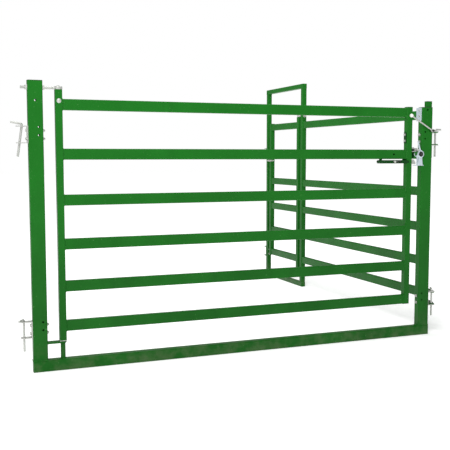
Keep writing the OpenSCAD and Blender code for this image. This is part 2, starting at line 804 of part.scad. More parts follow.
// Plate and two bolts through the latch upright above the slide bolt
module striker_backing_plate() {
    plate_h = 88;
    color(dark_green) placed() {
        difference() {
            translate([gate_x1 - upright_w - 4, -14, striker_bolt_z - plate_h / 2]) cube([4, 34, plate_h]);
            for (s = [-1, 1])
                translate([gate_x1 - upright_w - 10, conn_y, striker_bolt_z + s * striker_bolt_step / 2]) along_x()
                    rod(striker_bolt_dia + 2 * loose, 12);
        }
    }
}

housing_h = 27;
housing_front = -29;                            // housing laps the upright's front face
housing_back = 15;
housing_wall = 3;
housing_lap = 18;
knob_x = gate_x1 - upright_w - 124;

// Tube that guides the slide bolt under the second rail, round at its far end
module bolt_housing() {
    x1 = gate_x1 - upright_w;
    x0 = x1 - housing_len;
    depth = housing_back - housing_front;
    mid_y = (housing_front + housing_back) / 2;
    color(dark_green) placed() difference() {
        union() {
            translate([x0 + housing_h / 2, mid_y, rod_z]) along_x()
                box_tube(housing_h, depth, housing_wall, 4, housing_len - housing_h / 2);
            translate([x0 + housing_h / 2, housing_back, rod_z]) rotate([90, 0, 0]) rod(housing_h, depth);
            translate([x0 + 20, -10, rod_z]) cube([16, 20, rail_z[4] - rod_z]);
            translate([x1 - 22, -10, rod_z + housing_h / 2 - 1]) cube([22, 20, rod_drop - housing_h / 2 + 1]);
            translate([x1 - 4, housing_front, rod_z - housing_h / 2 + 4])
                cube([housing_lap + 4, housing_wall, housing_h - 8]);
        }
        translate([x0 + housing_wall + 10, 0, rod_z]) along_x() rod(rod_dia + 2, housing_len);
        translate([knob_x - 8, housing_front - 5, rod_z - 7]) cube([rod_travel + 16, 20, 14]);
    }
}

module slide_bolt() {
    x0 = knob_x - 90;
    color(zinc) placed() {
        translate([x0, 0, rod_z]) along_x() rod(rod_dia, gate_x1 + tip_gap - x0);
        translate([knob_x, housing_front - 12, rod_z]) along_y() rod(10, 12 - housing_front - 4);
        translate([knob_x, housing_front - 14, rod_z]) sphere(r = 9, $fn = smooth);
    }
}

// Block on the end of the slide bolt, bevelled on its leading edge
module slide_bolt_tip() {
    color(zinc) placed() translate([gate_x1 + tip_gap, tip_d / 2, rod_z - tip_h / 2]) rotate([90, 0, 0])
        linear_extrude(height = tip_d) polygon([
            [0, 0], [tip_len, 0], [tip_len - 4, tip_h * 0.45], [tip_len - 20, tip_h], [0, tip_h],
        ]);
}

// ---- side panel and walk-through ----

module panel_upright() {
    color(green) placed() translate([panel_x, panel_up_y, cap_t])
        box_tube(box_w, box_w, box_wall, box_r, latch_up_top - 2 * cap_t);
}

module panel_rails() {
    color(green) placed() for (z = rail_z)
        translate([panel_x, panel_rail_y0, z + rail_h / 2]) rotate([-90, 90, 0])
            box_tube(rail_h, rail_d, rail_wall, rail_r, panel_len);
}

// Ears that reach from the panel's first upright to the drop pins, inside the post's lugs
module panel_ears() {
    ear_r = 24;
    px = pin_x_right;
    up_face = panel_up_y - box_w / 2;
    color(green) placed() for (z = [conn_high, conn_low], s = [0, 1])
        translate([0, 0, z + (s == 0 ? -conn_h / 2 + lug_t + 0.5 : conn_h / 2 - 2 * lug_t - 0.5)])
            linear_extrude(height = lug_t) difference() {
                union() {
                    translate([px, conn_y]) circle(r = ear_r, $fn = smooth);
                    polygon([
                        [px - ear_r, conn_y], [px + ear_r, conn_y], [panel_x + box_w / 2 - 2, up_face - 60],
                        [panel_x + box_w / 2 - 2, up_face], [panel_x - box_w / 2 + 2, up_face],
                        [px - ear_r, conn_y + 50],
                    ]);
                }
                translate([px, conn_y]) circle(d = drop_pin_dia + 4, $fn = smooth);
            }
}

module panel_caps() {
    color(black) placed() {
        translate([panel_x, panel_up_y, latch_up_top - cap_t]) tube_cap(box_w, box_w, box_wall, box_r);
        translate([panel_x, panel_up_y, cap_t]) mirror([0, 0, 1]) tube_cap(box_w, box_w, box_wall, box_r);
    }
}

module walk_frame_posts() {
    color(green) placed() for (y = [walk_near_y, walk_far_y]) difference() {
        translate([panel_x, y, box_w]) box_tube(box_w, box_w, box_wall, box_r, walk_top - 2 * box_w);
        if (y == walk_near_y)
            translate([panel_x, y - box_w, walk_eye_z]) along_y() rod(eye_shank_dia + 2 * loose, 2 * box_w);
        else
            for (z = [far_conn_high, conn_low], s = [-1, 1])
                translate([panel_x, y - box_w, z + s * conn_bolt_step / 2]) along_y()
                    rod(conn_bolt_dia + 2 * loose, 2 * box_w);
    }
}

// Head and foot bars of the walk-through frame, over and under its posts, closed at their ends
module walk_frame_bars() {
    bar_len = walk_clear + 2 * box_w;
    color(green) placed() for (z = [box_w / 2, walk_top - box_w / 2])
        translate([panel_x, walk_y0, z]) along_y() difference() {
            linear_extrude(height = bar_len) rounded_rect(box_w, box_w, box_r);
            translate([0, 0, box_wall]) linear_extrude(height = bar_len - 2 * box_wall)
                rounded_rect(box_w - 2 * box_wall, box_w - 2 * box_wall, 2);
        }
}

// Eye bolt through the near post, with its nuts
module walk_eye_bolt() {
    color(zinc) placed() {
        translate([panel_x, walk_axis_y, walk_eye_z]) rotate([0, 0, 90])
            eye_bolt(walk_axis_y - walk_near_y + box_w / 2 + 28);
        translate([panel_x, walk_near_y, walk_eye_z]) rotate([0, 0, 90]) eye_nuts(-box_w / 2, box_w / 2);
    }
}

// Lug on the near post with the pintle that carries the small gate
module walk_hinge_foot() {
    lug_y = walk_near_y + box_w / 2;
    color(green) placed() translate([panel_x, 0, hinge_lug_top - hinge_lug_t]) {
        linear_extrude(height = hinge_lug_t) {
            translate([-box_w / 2 + 3, lug_y]) square([box_w - 6, walk_axis_y - lug_y]);
            translate([0, walk_axis_y]) circle(d = box_w - 6, $fn = smooth);
        }
        translate([0, walk_axis_y, hinge_lug_t]) rod(foot_pintle_dia, lug_clear + pintle_len_in);
    }
}

module walk_gate_uprights() {
    color(green) placed() {
        translate([panel_x, walk_axis_y, hinge_up_foot + bush_flange])
            box_tube(box_w, box_w, box_wall, box_r, walk_up_top - hinge_up_foot - bush_flange);
        translate([panel_x, walk_latch_y, rail_first + cap_t])
            box_tube(box_w, box_w, box_wall, box_r, latch_up_top - rail_first - 2 * cap_t);
        translate([panel_x, walk_latch_y, latch_up_top - cap_t]) tube_cap(box_w, box_w, box_wall, box_r);
        translate([panel_x, walk_latch_y, rail_first + cap_t]) mirror([0, 0, 1])
            tube_cap(box_w, box_w, box_wall, box_r);
    }
}

module walk_gate_rails() {
    y0 = walk_axis_y + box_w / 2;
    color(green) placed() for (z = rail_z)
        translate([panel_x, y0, z + rail_h / 2]) rotate([-90, 90, 0])
            box_tube(rail_h, rail_d, rail_wall, rail_r, walk_latch_y - box_w / 2 - y0);
}

// Top plug with its pin, and the bush at the foot
module walk_gate_pivots() {
    inner = box_w - 2 * box_wall - 0.6;
    color(zinc) placed() translate([panel_x, walk_axis_y, 0]) {
        translate([0, 0, walk_up_top - plug_len]) linear_extrude(height = plug_len) rounded_rect(inner, inner, 2);
        translate([0, 0, walk_up_top]) rod(pivot_dia, eye_t + 6);
        translate([0, 0, hinge_up_foot]) difference() {
            union() {
                linear_extrude(height = bush_flange) rounded_rect(box_w, box_w, box_r);
                rod(inner, bush_flange + bush_h);
            }
            translate([0, 0, -1]) rod(foot_pintle_dia + 2 * run_fit, bush_flange + bush_h + 2);
        }
    }
}

walk_rod_dia = 14;
walk_rod_x = panel_x - box_w / 2 - 11;
walk_rod_z = rail_z[4] - 30;
walk_rod_travel = 60;
guide_w = 22;

// Guides for the walk gate's slide bolt: two on the gate's latch upright
module walk_bolt_guide(y) {
    x0 = panel_x - box_w / 2 - guide_w;
    translate([0, y, 0]) difference() {
        translate([x0, 0, walk_rod_z - guide_w / 2]) cube([guide_w, 12, guide_w]);
        translate([walk_rod_x, -1, walk_rod_z]) along_y() rod(walk_rod_dia + 2 * run_fit, 14);
    }
}

module walk_bolt_guides() {
    color(zinc) placed() for (y = [walk_latch_y - box_w / 2, walk_latch_y + box_w / 2 - 12]) walk_bolt_guide(y);
}

module walk_slide_bolt() {
    y1 = walk_far_y - box_w / 2 - 12;
    color(zinc) placed() {
        translate([walk_rod_x, walk_latch_y - box_w / 2 - 100, walk_rod_z]) along_y()
            rod(walk_rod_dia, y1 - walk_latch_y + box_w / 2 + 100);
        translate([walk_rod_x - 40, walk_latch_y - box_w / 2 - 88, walk_rod_z]) along_x() rod(10, 40);
    }
}

sill();
sill_end_caps();
hinge_post();
latch_post();
latch_post_inner_tube();
post_caps();
hinge_lug();
hinge_foot_pintle();
hinge_eye_bolt();
hinge_eye_nuts();
connectors_hinge_post();
connectors_latch_post();
connectors_far_post();
connector_bolts();
far_connector_bolts();
strike_plate();
keeper_plate();
latch_plate();
latch_backing_plate();
latch_bolts();
latch_pivot_bolt();
latch_lever();
guard_rod_pivot();
guard_rod();
guard_rod_knob();
drop_pin_hinge_top();
drop_pin_hinge_foot();
drop_pin_latch_top();
drop_pin_latch_foot();
gate_hinge_upright();
gate_latch_upright();
gate_rail(0);  // gate_rail_1
gate_rail(1);  // gate_rail_2
gate_rail(2);  // gate_rail_3
gate_rail(3);  // gate_rail_4
gate_rail_5();
gate_rail(5);  // gate_rail_6
gate_pivot_pin();
gate_foot_bush();
gate_upright_caps();
striker_arm();
striker_web();
striker_stud();
striker_backing_plate();
bolt_housing();
slide_bolt();
slide_bolt_tip();
panel_upright();
panel_rails();
panel_ears();
panel_caps();
walk_frame_posts();
walk_frame_bars();
walk_eye_bolt();
walk_hinge_foot();
walk_gate_uprights();
walk_gate_rails();
walk_gate_pivots();
walk_bolt_guides();
walk_slide_bolt();
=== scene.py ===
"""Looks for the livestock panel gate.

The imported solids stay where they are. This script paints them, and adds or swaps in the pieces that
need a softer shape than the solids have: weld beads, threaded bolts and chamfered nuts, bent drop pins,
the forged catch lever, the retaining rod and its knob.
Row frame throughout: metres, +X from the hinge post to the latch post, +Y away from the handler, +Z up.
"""

import math

import bpy
import numpy as np
from mathutils import Matrix, Vector
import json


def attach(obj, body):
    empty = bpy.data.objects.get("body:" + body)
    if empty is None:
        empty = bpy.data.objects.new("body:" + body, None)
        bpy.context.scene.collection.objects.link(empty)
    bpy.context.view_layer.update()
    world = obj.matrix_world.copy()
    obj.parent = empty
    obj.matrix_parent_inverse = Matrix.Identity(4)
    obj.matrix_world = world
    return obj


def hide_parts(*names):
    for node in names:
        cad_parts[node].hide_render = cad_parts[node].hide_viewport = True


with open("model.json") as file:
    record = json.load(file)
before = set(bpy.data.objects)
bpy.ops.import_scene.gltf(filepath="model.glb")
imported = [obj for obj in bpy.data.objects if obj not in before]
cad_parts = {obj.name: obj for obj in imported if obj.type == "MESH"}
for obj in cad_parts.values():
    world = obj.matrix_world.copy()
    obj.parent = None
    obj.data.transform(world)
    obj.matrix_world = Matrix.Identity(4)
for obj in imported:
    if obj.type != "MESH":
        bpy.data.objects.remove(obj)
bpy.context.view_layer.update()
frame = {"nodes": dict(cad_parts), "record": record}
TAU = 2 * math.pi

# ---------------------------------------------------------------- sizes, in metres

GATEWAY_W = 3.250
POST_W, POST_D, POST_R = 0.100, 0.062, 0.008
SILL_H = 0.080
RAIL_H, RAIL_D, RAIL_R = 0.076, 0.038, 0.006
RAIL_Z = np.cumsum([0.273, 0.279, 0.295, 0.306, 0.317, 0.338])
BOX_W = 0.050


def across(x_mm):
    """A distance from the hinge post's outer face, in millimetres, as X in the row frame."""
    return x_mm / 1000 - GATEWAY_W / 2


# ---------------------------------------------------------------- surfaces


def grid(points, close_u=False, close_v=False, flip=False):
    """(vertices, quads) of a surface given as an n by m array of points.

    Quad (i, j) joins points (i, j), (i+1, j), (i+1, j+1), (i, j+1); a closed direction wraps its last row
    to its first.
    """
    n, m = points.shape[:2]
    i, j = np.meshgrid(np.arange(n if close_u else n - 1), np.arange(m if close_v else m - 1), indexing="ij")
    i, j = i.ravel(), j.ravel()
    i2, j2 = (i + 1) % n, (j + 1) % m
    quads = np.stack([i * m + j, i2 * m + j, i2 * m + j2, i * m + j2], axis=1)
    return points.reshape(-1, 3), quads[:, ::-1] if flip else quads


def joined(parts):
    """Several (vertices, quads) as one."""
    offsets = np.cumsum([0] + [len(v) for v, _ in parts[:-1]])
    return np.concatenate([v for v, _ in parts]), np.concatenate([q + o for (_, q), o in zip(parts, offsets)])


def moved(part, matrix):
    """part carried by a 4x4 matrix."""
    v, q = part
    m = np.array(matrix)
    return v @ m[:3, :3].T + m[:3, 3], q


def shown(name, parts, material, body, swaps=()):
    """Makes the mesh object, smooth-shaded by angle, and ties it to its body, slot and solids."""
    v, q = joined(parts)
    mesh = bpy.data.meshes.new(name)
    mesh.vertices.add(len(v))
    mesh.vertices.foreach_set("co", v.astype(np.float32).ravel())
    mesh.loops.add(q.size)
    mesh.loops.foreach_set("vertex_index", q.astype(np.int32).ravel())
    mesh.polygons.add(len(q))
    mesh.polygons.foreach_set("loop_start", np.arange(0, q.size, 4, dtype=np.int32))
    mesh.update(calc_edges=True)
    mesh.validate()
    mesh.polygons.foreach_set("use_smooth", np.ones(len(mesh.polygons), dtype=bool))
    mesh.set_sharp_from_angle(angle=math.radians(38))
    mesh.materials.append(material)
    obj = bpy.data.objects.new(name, mesh)
    bpy.context.scene.collection.objects.link(obj)
    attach(obj, body)
    if swaps:
        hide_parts(*swaps)
    return obj


def lathe(profile, sides=48):
    """A profile turned about Z: point (r, z) at angle t goes to (r cos t, r sin t, z)."""
    t = np.linspace(0, TAU, sides, endpoint=False)
    r, z = np.array(profile, float).T
    p = np.stack([np.outer(np.cos(t), r), np.outer(np.sin(t), r), np.tile(z, (sides, 1))], axis=2)
    return grid(p, close_u=True)


def rounded_profile(r0, r1, z0, z1, soft, steps=4):
    """Half-section of a ring from radius r0 to r1 and height z0 to z1, its outer corners rounded by soft.

    The corner arcs are quarter circles of radius soft about points soft inside the corner.
    """
    a = np.linspace(0, math.pi / 2, steps + 1)
    low = np.stack([r1 - soft + soft * np.sin(a), z0 + soft - soft * np.cos(a)], axis=1)
    high = np.stack([r1 - soft + soft * np.cos(a), z1 - soft + soft * np.sin(a)], axis=1)
    return np.vstack([[r0, z0], low, high, [r0, z1]])


def ring(r0, r1, z0, z1, soft, sides=48):
    """A flat ring with rounded outer edges and an open bore, as a closed profile turned about Z."""
    profile = rounded_profile(r0, r1, z0, z1, soft)
    return lathe(np.vstack([profile, profile[:1]]), sides)


def hexagon(af, h, bore=0.0, dome=0.0):
    """A hexagon across flats af from z = 0 to h, its corners turned off by a cone at the top.

    Radius at angle t is af/2 / cos(t'), t' being t folded into +-30 degrees; near the top it is capped by
    the flats' own radius plus 1.7 times the depth below the top face. A head has a dome of that height in
    place of a bore.
    """
    sides = 72
    t = np.linspace(0, TAU, sides, endpoint=False)
    hexr = af / 2 / np.cos((t + math.pi / 6) % (math.pi / 3) - math.pi / 6)
    rows = []
    if bore:
        rows.append((np.full(sides, bore), 0.0))
    else:
        rows.append((np.full(sides, 1e-5), 0.0))
    rows.append((hexr, 0.0))
    for depth in (0.30, 0.20, 0.12, 0.06, 0.0):
        rows.append((np.minimum(hexr, af / 2 * 0.96 + 1.7 * depth * h), h * (1 - depth)))
    if bore:
        rows.append((np.full(sides, bore + 0.06 * af), h))
        rows.append((np.full(sides, bore), h * 0.93))
        rows.append((np.full(sides, bore), 0.0))
    else:
        for k in (0.8, 0.55, 0.3, 1e-4):
            rows.append((np.full(sides, af / 2 * k), h + dome * (1 - k * k)))
    p = np.stack([np.stack([r * np.cos(t), r * np.sin(t), np.full(sides, z)], axis=1) for r, z in rows], axis=1)
    return grid(p, close_u=True)


def thread(radius, z0, z1, pitch, depth, plain=0.0, sides=32):
    """A rod along Z from z0 to z1 whose surface is a helical thread below z1 - plain.

    Radius at height z and angle t is radius less depth times the sawtooth distance of z/pitch - t/tau from
    the nearest whole number, faded out over the last two turns; both ends are chamfered and closed.
    """
    turns = max(int((z1 - z0 - plain) / pitch), 1)
    z = np.concatenate([np.linspace(z0, z1 - plain, turns * 8), np.linspace(z1 - plain, z1, 6)[1:]])
    t = np.linspace(0, TAU, sides, endpoint=False)
    zz, tt = np.meshgrid(z, t)
    phase = zz / pitch - tt / TAU
    tooth = 2 * np.abs(phase - np.round(phase))
    fade = np.clip((z1 - plain - zz) / (2 * pitch), 0, 1)
    r = radius - depth * tooth * fade
    end = np.minimum(zz - z0, z1 - zz)
    r = np.minimum(r, radius - 0.0012 + np.clip(end, 0, 0.0012))
    p = np.stack([r * np.cos(tt), r * np.sin(tt), zz], axis=2)
    cap0, cap1 = p[:, :1] * [1e-3, 1e-3, 1], p[:, -1:] * [1e-3, 1e-3, 1]
    return grid(np.concatenate([cap0, p, cap1], axis=1), close_u=True)


def along(path, radii, sides=24, closed=False):
    """A round section carried along a path.

    The section at each point is radii[i] times (cos a, sin a) in a frame square to the path, carried from
    point to point by the smallest turn that follows the tangent. An open path ends in closed faces.
    """
    path = np.array(path, float)
    radii = np.broadcast_to(np.array(radii, float), (len(path),))
    if closed:
        tangent = np.roll(path, -1, 0) - np.roll(path, 1, 0)
    else:
        tangent = np.gradient(path, axis=0)
    tangent /= np.linalg.norm(tangent, axis=1)[:, None]
    side = np.cross(tangent[0], [0.31, 0.87, 0.39])
    side /= np.linalg.norm(side)
    sides_at = []
    for t in tangent:
        side = side - t * (side @ t)
        side /= np.linalg.norm(side)
        sides_at.append(side)
    s = np.array(sides_at)
    b = np.cross(tangent, s)
    a = np.linspace(0, TAU, sides, endpoint=False)
    p = path[:, None] + radii[:, None, None] * (
        np.cos(a)[None, :, None] * s[:, None] + np.sin(a)[None, :, None] * b[:, None]
    )
    return grid(p, close_u=closed, close_v=True, flip=True)


def bar_radii(n, radius, round_rows):
    """Radii along an open bar that close to a point over round_rows rows at each end, as a quarter circle."""
    r = np.full(n, radius)
    k = np.arange(round_rows) / (round_rows - 1)
    fall = np.sqrt(np.clip(1 - (1 - k) ** 2, 0, 1))
    fall[0] = 1e-3
    r[:round_rows] = radius * fall
    r[-round_rows:] = radius * fall[::-1]
    return r


def bar_path(corners, bend, radius, step=0.004, nose=0.35):
    """Points along straight legs joined by round bends, packed closely at the ends for the noses.

    Each inner corner is cut back by bend on both legs and bridged by a quadratic curve through the corner.
    """
    corners = [np.array(c, float) for c in corners]
    points = []
    legs = []
    start = corners[0]
    for k in range(1, len(corners) - 1):
        a, b, c = corners[k - 1 : k + 2]
        u = (a - b) / np.linalg.norm(a - b)
        w = (c - b) / np.linalg.norm(c - b)
        legs.append((start, b + u * bend))
        s = np.linspace(0, 1, 10)[1:-1, None]
        legs.append((1 - s) ** 2 * (b + u * bend) + 2 * s * (1 - s) * b + s**2 * (b + w * bend))
        start = b + w * bend
    legs.append((start, corners[-1]))
    for leg in legs:
        if isinstance(leg, tuple):
            n = max(int(np.linalg.norm(leg[1] - leg[0]) / step), 2)
            points.append(leg[0] + (leg[1] - leg[0]) * np.linspace(0, 1, n)[:, None])
        else:
            points.append(leg)
    p = np.vstack(points)
    k = 6
    reach = radius * nose
    d0 = (p[1] - p[0]) / np.linalg.norm(p[1] - p[0])
    d1 = (p[-1] - p[-2]) / np.linalg.norm(p[-1] - p[-2])
    s = (1 - np.cos(np.linspace(0, math.pi / 2, k)))[:, None]
    head = p[0] + d0 * reach * s
    tail = (p[-1] - d1 * reach * s)[::-1]
    inner = p[(np.linalg.norm(p - p[0], axis=1) > reach) & (np.linalg.norm(p - p[-1], axis=1) > reach)]
    return np.vstack([head, inner, tail]), k


def bent_bar(corners, bend, radius, sides=24):
    """A round bar through the corners with rounded noses."""
    path, rows = bar_path(corners, bend, radius)
    return along(path, bar_radii(len(path), radius, rows), sides)


def rounded_rectangle(w, h, r, spacing):
    """Evenly spaced points round a rectangle with round corners, in its own plane, anticlockwise."""
    straight = [(w - 2 * r), (h - 2 * r)] * 2
    arc = math.pi / 2 * r
    total = sum(straight) + 4 * arc
    s = np.arange(0, total, total / max(int(total / spacing), 12))
    out = []
    for d in s:
        for k in range(4):
            dx, dy = [(1, 0), (0, 1), (-1, 0), (0, -1)][k]
            nx, ny = dy, -dx
            cx = (w / 2 - r) * (1 if k in (0, 1) else -1)
            cy = (h / 2 - r) * (1 if k in (1, 2) else -1)
            if d < straight[k]:
                back = straight[k] - d
                out.append((cx - dx * back + nx * r, cy - dy * back + ny * r))
                break
            d -= straight[k]
            if d < arc:
                a = d / r
                out.append((cx + r * (nx * math.cos(a) + dx * math.sin(a)), cy + r * (ny * math.cos(a) + dy * math.sin(a))))
                break
            d -= arc
        else:
            out.append(out[-1])
    return np.array(out)


def weld(w, h, r, matrix, size=0.0034, seed=0):
    """A rippled weld bead round a tube's foot.

    The bead is a closed tube along the rounded rectangle. Its radius is size times 1 + 0.16 sin(ripple) +
    a slow drift, one ripple every 3.2 mm, and its line wanders by a fifth of its radius.
    """
    line = rounded_rectangle(w, h, r, 0.0011)
    n = len(line)
    rng = np.random.default_rng(seed)
    k = np.arange(n) / n * TAU
    ripples = round(n * 0.0011 / 0.0032)
    drift = sum(rng.uniform(-0.09, 0.09) * np.sin(j * k + rng.uniform(0, TAU)) for j in (2, 3, 5, 9))
    radius = size * (1 + 0.16 * np.sin(ripples * k + 2 * np.sin(k)) + drift)
    wander = 1 + 0.2 * size / max(w, h) * np.sin(7 * k + rng.uniform(0, TAU))
    path = np.stack([line[:, 0] * wander, line[:, 1] * wander, np.zeros(n)], axis=1)
    return moved(along(path, radius, 8, closed=True), matrix)


def frame_of(x_axis, y_axis, origin):
    """A 4x4 that takes local X and Y to two given directions and the local origin to a point."""
    x, y = np.array(x_axis, float), np.array(y_axis, float)
    m = np.eye(4)
    m[:3, 0], m[:3, 1], m[:3, 2], m[:3, 3] = x, y, np.cross(x, y), origin
    return m


def pointing(direction, origin):
    """A 4x4 that takes local +Z to a direction."""
    d = np.array(direction, float)
    d /= np.linalg.norm(d)
    x = np.cross([0.0, 1.0, 0.0] if abs(d[1]) < 0.9 else [0.0, 0.0, 1.0], d)
    x /= np.linalg.norm(x)
    return frame_of(x, np.cross(d, x), origin)


# ---------------------------------------------------------------- materials


class Nodes:
    """Small helper that adds shader nodes and links them by socket."""

    def __init__(self, name):
        self.material = bpy.data.materials.new(name)
        self.material.use_nodes = True
        self.tree = self.material.node_tree
        self.shader = self.tree.nodes["Principled BSDF"]
        self.coords = self.tree.nodes.new("ShaderNodeTexCoord").outputs["Object"]

    def add(self, kind, _settings=None, **inputs):
        node = self.tree.nodes.new(kind)
        for key, value in (_settings or {}).items():
            setattr(node, key, value)
        for key, value in inputs.items():
            socket = node.inputs[int(key[1:])] if key[0] == "i" and key[1:].isdigit() else node.inputs[key]
            self.set(socket, value)
        return node

    def set(self, socket, value):
        if isinstance(value, bpy.types.NodeSocket):
            self.tree.links.new(value, socket)
        else:
            socket.default_value = value

    def noise(self, scale, detail=3.0, rough=0.5, coords=None):
        node = self.add("ShaderNodeTexNoise", Vector=coords or self.coords)
        node.inputs["Scale"].default_value = scale
        node.inputs["Detail"].default_value = detail
        node.inputs["Roughness"].default_value = rough
        return node.outputs["Fac"]

    def stretched(self, scale):
        return self.add("ShaderNodeMapping", Vector=self.coords, Scale=scale).outputs["Vector"]

    def band(self, value, low, high, to_low=0.0, to_high=1.0):
        node = self.add("ShaderNodeMapRange", {"clamp": True}, Value=value)
        for key, number in (("From Min", low), ("From Max", high), ("To Min", to_low), ("To Max", to_high)):
            node.inputs[key].default_value = number
        return node.outputs["Result"]

    def math(self, operation, a, b=0.0):
        return self.add("ShaderNodeMath", {"operation": operation}, i0=a, i1=b).outputs[0]

    def mix(self, factor, a, b):
        node = self.add("ShaderNodeMix", {"data_type": "RGBA"})
        self.set(node.inputs[0], factor)
        self.set(node.inputs[6], a)
        self.set(node.inputs[7], b)
        return node.outputs[2]

    def bump(self, height, strength, distance):
        node = self.add("ShaderNodeBump", Height=height)
        node.inputs["Strength"].default_value = strength
        node.inputs["Distance"].default_value = distance
        return node.outputs["Normal"]

    def finish(self, **inputs):
        for key, value in inputs.items():
            self.set(self.shader.inputs[key.replace("_", " ")], value)
        return self.material


def colour(r, g, b):
    """An sRGB colour from 0-255 values as linear RGBA."""
    c = np.array([r, g, b]) / 255
    lin = np.where(c <= 0.04045, c / 12.92, ((c + 0.055) / 1.055) ** 2.4)
    return (*[float(x) for x in lin], 1.0)


def paint(name, lit_upper, shaded_lower, worn, rough=0.34):
    """Powder coat: painted shade running from the upper colour to the lower with height, darker towards the ground,
    with cloudy patches, dust, orange peel and worn specks.
    """
    n = Nodes(name)
    height = n.add("ShaderNodeSeparateXYZ", Vector=n.coords).outputs["Z"]
    # Painted shade: the colour darkens from the upper colour to the lower one towards the ground
    base = n.mix(n.band(height, 0.15, 1.75), colour(*shaded_lower), colour(*lit_upper))
    clouds = n.band(n.noise(2.3, 4.0, 0.55), 0.35, 0.68)
    base = n.mix(n.math("MULTIPLY", clouds, 0.22), base, colour(*[min(255, int(c * 1.22) + 6) for c in lit_upper]))
    streaks = n.band(n.noise(1.0, 4.0, 0.6, n.stretched((9.0, 9.0, 0.8))), 0.55, 0.8)
    base = n.mix(n.math("MULTIPLY", streaks, 0.16), base, colour(*[int(c * 0.62) for c in shaded_lower]))
    specks = n.band(n.noise(85.0, 2.0, 0.4), 0.735, 0.76)
    base = n.mix(n.math("MULTIPLY", specks, 0.55), base, colour(*worn))
    dust = n.math("MULTIPLY", n.band(height, 0.22, 0.0), n.band(n.noise(14.0, 5.0, 0.6), 0.4, 0.7))
    base = n.mix(n.math("MULTIPLY", dust, 0.35), base, colour(112, 118, 92))
    peel = n.noise(420.0, 2.0, 0.5)
    roughness = n.band(n.noise(6.0, 3.0, 0.5), 0.3, 0.7, rough - 0.05, rough + 0.09)
    return n.finish(
        Base_Color=base, Roughness=roughness, Normal=n.bump(peel, 0.25, 0.0006), Specular_IOR_Level=0.14
    )


def zinc_plate(name, tint, rough=0.36):
    """Zinc: spangle cells and fine drawing lines vary the tone and the roughness, with dull bloom in places."""
    n = Nodes(name)
    cells = n.add("ShaderNodeTexVoronoi", Vector=n.coords, Scale=160.0).outputs["Color"]
    cell = n.add("ShaderNodeSeparateColor", Color=cells).outputs[0]
    bloom = n.band(n.noise(28.0, 4.0, 0.6), 0.42, 0.72)
    light = colour(*tint)
    dark = colour(*[int(c * 0.78) for c in tint])
    base = n.mix(n.band(cell, 0.0, 1.0, 0.0, 0.35), light, dark)
    base = n.mix(n.math("MULTIPLY", bloom, 0.3), base, colour(196, 200, 196))
    stain = n.band(n.noise(60.0, 3.0, 0.5), 0.7, 0.78)
    base = n.mix(n.math("MULTIPLY", stain, 0.35), base, colour(104, 96, 82))
    roughness = n.math("ADD", n.band(cell, 0.0, 1.0, rough - 0.06, rough + 0.06), n.math("MULTIPLY", bloom, 0.12))
    lines = n.noise(700.0, 2.0, 0.5)
    return n.finish(Base_Color=base, Metallic=0.4, Roughness=roughness, Normal=n.bump(lines, 0.15, 0.0003))


def moulding(name, tone, worn, rough):
    """Moulded plastic or black finish: fine grain, faint scuffs and a little dust."""
    n = Nodes(name)
    scuff = n.band(n.noise(45.0, 5.0, 0.65), 0.6, 0.75)
    base = n.mix(n.math("MULTIPLY", scuff, 0.4), colour(*tone), colour(*worn))
    base = n.mix(n.band(n.noise(9.0, 3.0, 0.5), 0.3, 0.8, 0.0, 0.3), base, colour(*[int(c * 0.8) for c in tone]))
    grain = n.noise(900.0, 2.0, 0.5)
    roughness = n.band(n.noise(30.0, 3.0, 0.5), 0.3, 0.7, rough - 0.06, rough + 0.08)
    return n.finish(Base_Color=base, Roughness=roughness, Normal=n.bump(grain, 0.2, 0.0003))


GREEN = paint("green_powder_coat", (23, 103, 26), (10, 80, 12), (80, 138, 74))
# Painted shade: a darker copy of the green paint for latch parts that sit under the rail and in the gap at the latch
# post
SHADED_GREEN = paint("shaded_green_paint", (12, 62, 20), (10, 55, 16), (64, 104, 60), 0.42)
# Painted highlight: a lighter copy of the green paint for the weld beads
HIGHLIT_WELD_GREEN = paint("highlit_weld_paint", (33, 114, 36), (22, 94, 24), (98, 152, 90), 0.3)
ZINC = zinc_plate("zinc_plate", (196, 197, 192))
BLUE_ZINC = zinc_plate("bright_zinc_plate", (214, 228, 238), 0.3)
BLACK = moulding("black_moulding", (38, 40, 37), (86, 88, 82), 0.5)
WHITE = moulding("white_moulding", (238, 238, 232), (196, 196, 184), 0.28)

SLOT_MATERIAL = {"green_paint": GREEN, "zinc_plate": ZINC, "black_plastic": BLACK, "white_knob": WHITE}
NODE_MATERIAL = {
    "strike_plate": BLUE_ZINC,
    "keeper_plate": BLUE_ZINC,
    "latch_plate": BLUE_ZINC,
    "striker_web": SHADED_GREEN,
    "bolt_housing": SHADED_GREEN,
    "striker_backing_plate": SHADED_GREEN,
}
node_slots = {s["node"]: s["material_slot"] for s in frame["record"]["subparts"]}
for node_name, obj in frame["nodes"].items():
    obj.data.materials.clear()
    obj.data.materials.append(NODE_MATERIAL.get(node_name, SLOT_MATERIAL[node_slots[node_name]]))

# ---------------------------------------------------------------- welds

UPRIGHT_W = 0.048
AXIS_X = across(208)
TALL_NEAR, TALL_FAR = 2.504, 3.441
WALK_AXIS, WALK_LATCH = 2.604, 3.351
BEAD_OUT = 0.001
GATE_X = (across(184) + UPRIGHT_W, across(3059) - UPRIGHT_W)
PANEL_X = across(3352)
PANEL_Y = (0.204, 2.479)
WALK_Y = (WALK_AXIS + 0.025, WALK_LATCH - 0.025)



def rail_bead(side, origin, seed):
    """The bead round one rail's end: across points along the rail's depth, and origin is the middle of the end."""
    return weld(RAIL_D, RAIL_H, RAIL_R, frame_of(side, (0, 0, 1), origin), seed=seed)


def flat(x, y, z):
    """A level frame at a point, X and Y as the object's."""
    return frame_of((1, 0, 0), (0, 1, 0), (x, y, z))


